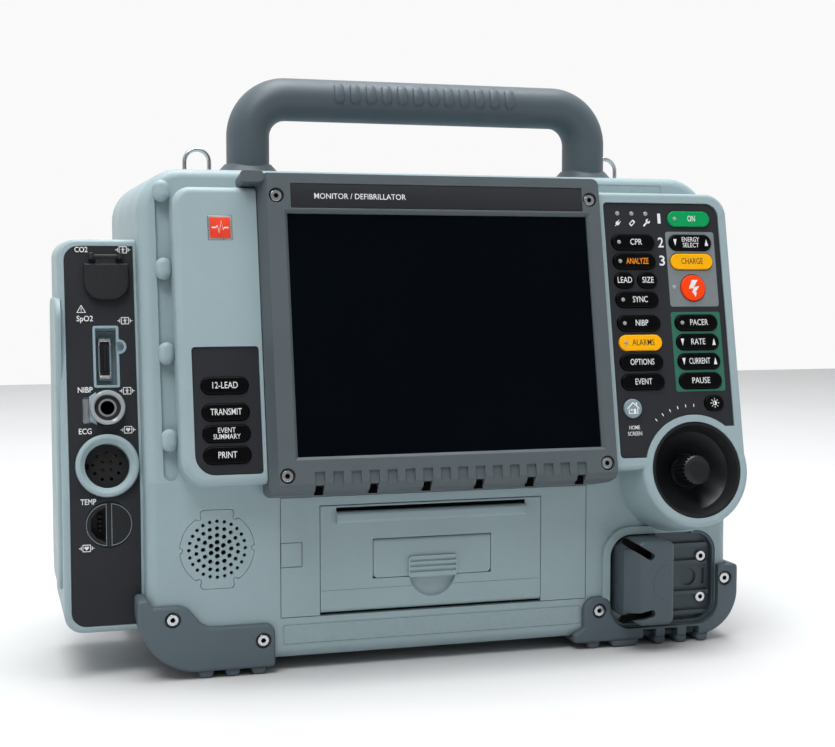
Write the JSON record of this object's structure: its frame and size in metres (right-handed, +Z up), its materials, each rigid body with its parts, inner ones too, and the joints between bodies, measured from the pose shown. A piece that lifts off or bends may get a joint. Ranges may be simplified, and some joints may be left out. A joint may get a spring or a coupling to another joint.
{
  "type": "portable monitor defibrillator",
  "caption": "Portable monitor defibrillator: leaning display in a bezel, key fields, speed dial, front printer, side port module, carrying handle, rear batteries.",
  "frame": {"origin": "centre of the whole object's footprint box, on the surface the feet stand on", "axes": "+Z up, the display and keys face -Y, +X to the viewer's right"},
  "size_m": [0.395, 0.229, 0.3322],
  "materials": {
    "case_plastic": "fine moulded texture",
    "bezel_plastic": "fine moulded texture",
    "handle_plastic": "soft-touch moulding",
    "bumper_rubber": "moulded elastomer",
    "panel_black": "satin overlay",
    "dial_black": "satin",
    "key_black": "glossy elastomer",
    "key_green": "glossy elastomer",
    "key_yellow": "glossy elastomer",
    "key_orange": "glossy elastomer",
    "key_grey": "glossy elastomer",
    "window": "hard-coated clear sheet over a dark display",
    "display_metal": "stamped",
    "steel": "satin",
    "speaker_black": "paper cone and steel basket",
    "paper": "smooth thermal paper",
    "platen_rubber": "ground rubber",
    "connector_grey": "fine moulded texture",
    "connector_light": "moulded",
    "socket_black": "moulded",
    "fitting_metal": "bright",
    "chassis_metal": "sheet",
    "circuit_board": "solder resist",
    "capacitor": "sleeved can",
    "battery_black": "moulded"
  },
  "bodies": {
    "housing": {"front_case": "case_plastic", "rear_case": "case_plastic", "display_bezel": "bezel_plastic", "display_window": "window", "display_module": "display_metal", "port_case": "case_plastic", "port_panel": "panel_black", "report_panel": "panel_black", "control_panel": "panel_black", "bumper_left": "bumper_rubber", "bumper_right": "bumper_rubber", "handle": "handle_plastic", "strap_loops": "steel", "case_screws": "steel", "speaker_grille": "case_plastic", "speaker_driver": "speaker_black", "printer_frame": "case_plastic", "dial_bowl": "dial_black", "therapy_rail": "connector_grey", "therapy_socket": "connector_grey", "spo2_socket": "connector_light", "nibp_fitting": "fitting_metal", "ecg_socket": "socket_black", "temp_socket": "socket_black", "chassis": "chassis_metal", "circuit_boards": "circuit_board", "shock_capacitor": "capacitor"},
    "key_on": {"key_on": "key_green"},
    "key_cpr": {"key_cpr": "key_black"},
    "key_energy": {"key_energy": "key_black"},
    "key_analyze": {"key_analyze": "key_black"},
    "key_charge": {"key_charge": "key_yellow"},
    "key_lead": {"key_lead": "key_black"},
    "key_size": {"key_size": "key_black"},
    "key_shock": {"key_shock": "key_orange"},
    "key_sync": {"key_sync": "key_black"},
    "key_nibp": {"key_nibp": "key_black"},
    "key_pacer": {"key_pacer": "key_black"},
    "key_alarms": {"key_alarms": "key_yellow"},
    "key_rate": {"key_rate": "key_black"},
    "key_options": {"key_options": "key_black"},
    "key_current": {"key_current": "key_black"},
    "key_event": {"key_event": "key_black"},
    "key_pause": {"key_pause": "key_black"},
    "key_brightness": {"key_brightness": "key_black"},
    "key_home": {"key_home": "key_grey"},
    "key_12_lead": {"key_12_lead": "key_black"},
    "key_transmit": {"key_transmit": "key_black"},
    "key_summary": {"key_summary": "key_black"},
    "key_print": {"key_print": "key_black"},
    "dial_shaft": {"dial_shaft": "steel"},
    "dial_knob": {"dial_knob": "dial_black"},
    "printer_door": {"printer_door": "case_plastic"},
    "printer_latch": {"printer_latch": "case_plastic"},
    "paper_roll": {"paper_roll": "paper"},
    "platen_roller": {"platen_roller": "platen_rubber"},
    "co2_door": {"co2_door": "socket_black"},
    "nibp_latch": {"nibp_latch": "fitting_metal"},
    "battery_left": {"battery_left": "battery_black"},
    "battery_right": {"battery_right": "battery_black"}
  },
  "joints": [
    {"name": "key_on_press", "type": "slide", "parent": "housing", "child": "key_on", "axis": [0, 0.9816, -0.1908], "range_m": [0, 0.0012], "stiffness_N_per_m": 2500},
    {"name": "key_cpr_press", "type": "slide", "parent": "housing", "child": "key_cpr", "axis": [0, 0.9816, -0.1908], "range_m": [0, 0.0012], "stiffness_N_per_m": 2500},
    {"name": "key_energy_rock", "type": "hinge", "parent": "housing", "child": "key_energy", "pos_m": [0.1658, -0.08039, 0.23692], "axis": [0, 0.1908, 0.9816], "range_deg": [-2.5, 2.5], "stiffness_Nm_per_rad": 0.25},
    {"name": "key_analyze_press", "type": "slide", "parent": "housing", "child": "key_analyze", "axis": [0, 0.9816, -0.1908], "range_m": [0, 0.0012], "stiffness_N_per_m": 2500},
    {"name": "key_charge_press", "type": "slide", "parent": "housing", "child": "key_charge", "axis": [0, 0.9816, -0.1908], "range_m": [0, 0.0012], "stiffness_N_per_m": 2500},
    {"name": "key_lead_press", "type": "slide", "parent": "housing", "child": "key_lead", "axis": [0, 0.9816, -0.1908], "range_m": [0, 0.0012], "stiffness_N_per_m": 2500},
    {"name": "key_size_press", "type": "slide", "parent": "housing", "child": "key_size", "axis": [0, 0.9816, -0.1908], "range_m": [0, 0.0012], "stiffness_N_per_m": 2500},
    {"name": "key_shock_press", "type": "slide", "parent": "housing", "child": "key_shock", "axis": [0, 0.9816, -0.1908], "range_m": [0, 0.0012], "stiffness_N_per_m": 2500},
    {"name": "key_sync_press", "type": "slide", "parent": "housing", "child": "key_sync", "axis": [0, 0.9816, -0.1908], "range_m": [0, 0.0012], "stiffness_N_per_m": 2500},
    {"name": "key_nibp_press", "type": "slide", "parent": "housing", "child": "key_nibp", "axis": [0, 0.9816, -0.1908], "range_m": [0, 0.0012], "stiffness_N_per_m": 2500},
    {"name": "key_pacer_press", "type": "slide", "parent": "housing", "child": "key_pacer", "axis": [0, 0.9816, -0.1908], "range_m": [0, 0.0012], "stiffness_N_per_m": 2500},
    {"name": "key_alarms_press", "type": "slide", "parent": "housing", "child": "key_alarms", "axis": [0, 0.9816, -0.1908], "range_m": [0, 0.0012], "stiffness_N_per_m": 2500},
    {"name": "key_rate_rock", "type": "hinge", "parent": "housing", "child": "key_rate", "pos_m": [0.1658, -0.09167, 0.17891], "axis": [0, 0.1908, 0.9816], "range_deg": [-2.5, 2.5], "stiffness_Nm_per_rad": 0.25},
    {"name": "key_options_press", "type": "slide", "parent": "housing", "child": "key_options", "axis": [0, 0.9816, -0.1908], "range_m": [0, 0.0012], "stiffness_N_per_m": 2500},
    {"name": "key_current_rock", "type": "hinge", "parent": "housing", "child": "key_current", "pos_m": [0.1658, -0.09384, 0.16772], "axis": [0, 0.1908, 0.9816], "range_deg": [-2.5, 2.5], "stiffness_Nm_per_rad": 0.25},
    {"name": "key_event_press", "type": "slide", "parent": "housing", "child": "key_event", "axis": [0, 0.9816, -0.1908], "range_m": [0, 0.0012], "stiffness_N_per_m": 2500},
    {"name": "key_pause_press", "type": "slide", "parent": "housing", "child": "key_pause", "axis": [0, 0.9816, -0.1908], "range_m": [0, 0.0012], "stiffness_N_per_m": 2500},
    {"name": "key_brightness_press", "type": "slide", "parent": "housing", "child": "key_brightness", "axis": [0, 0.9816, -0.1908], "range_m": [0, 0.0012], "stiffness_N_per_m": 2500},
    {"name": "key_home_press", "type": "slide", "parent": "housing", "child": "key_home", "axis": [0, 0.9816, -0.1908], "range_m": [0, 0.0012], "stiffness_N_per_m": 2500},
    {"name": "key_12_lead_press", "type": "slide", "parent": "housing", "child": "key_12_lead", "axis": [0, 0.9816, -0.1908], "range_m": [0, 0.0012], "stiffness_N_per_m": 2500},
    {"name": "key_transmit_press", "type": "slide", "parent": "housing", "child": "key_transmit", "axis": [0, 0.9816, -0.1908], "range_m": [0, 0.0012], "stiffness_N_per_m": 2500},
    {"name": "key_summary_press", "type": "slide", "parent": "housing", "child": "key_summary", "axis": [0, 0.9816, -0.1908], "range_m": [0, 0.0012], "stiffness_N_per_m": 2500},
    {"name": "key_print_press", "type": "slide", "parent": "housing", "child": "key_print", "axis": [0, 0.9816, -0.1908], "range_m": [0, 0.0012], "stiffness_N_per_m": 2500},
    {"name": "dial_press", "type": "slide", "parent": "housing", "child": "dial_shaft", "axis": [0, 0.9816, -0.1908], "range_m": [0, 0.0015], "stiffness_N_per_m": 4000},
    {"name": "dial_spin", "type": "hinge", "parent": "dial_shaft", "child": "dial_knob", "pos_m": [0.159, -0.10176, 0.10497], "axis": [0, -0.9816, 0.1908], "continuous": true},
    {"name": "printer_door_hinge", "type": "hinge", "parent": "housing", "child": "printer_door", "pos_m": [0.007, -0.0818, 0.0333], "axis": [1, 0, 0], "range_deg": [0, 65]},
    {"name": "printer_latch_hinge", "type": "hinge", "parent": "printer_door", "child": "printer_latch", "pos_m": [0.00685, -0.0821, 0.0691], "axis": [-1, 0, 0], "range_deg": [0, 30], "stiffness_Nm_per_rad": 0.12},
    {"name": "platen_spin", "type": "hinge", "parent": "housing", "child": "platen_roller", "pos_m": [0.007, -0.071, 0.0805], "axis": [1, 0, 0], "continuous": true},
    {"name": "paper_roll_spin", "type": "hinge", "parent": "housing", "child": "paper_roll", "pos_m": [0.007, -0.051, 0.0616], "axis": [1, 0, 0], "continuous": true},
    {"name": "co2_door_hinge", "type": "hinge", "parent": "housing", "child": "co2_door", "pos_m": [-0.1696, -0.04561, 0.22835], "axis": [-1, 0, 0], "range_deg": [0, 100]},
    {"name": "nibp_latch_press", "type": "slide", "parent": "housing", "child": "nibp_latch", "axis": [1, 0, 0], "range_m": [0, 0.001], "stiffness_N_per_m": 1500},
    {"name": "battery_left_slide", "type": "slide", "parent": "housing", "child": "battery_left", "axis": [0, 1, 0], "range_m": [0, 0.055]},
    {"name": "battery_right_slide", "type": "slide", "parent": "housing", "child": "battery_right", "axis": [0, 1, 0], "range_m": [0, 0.055]}
  ]
}
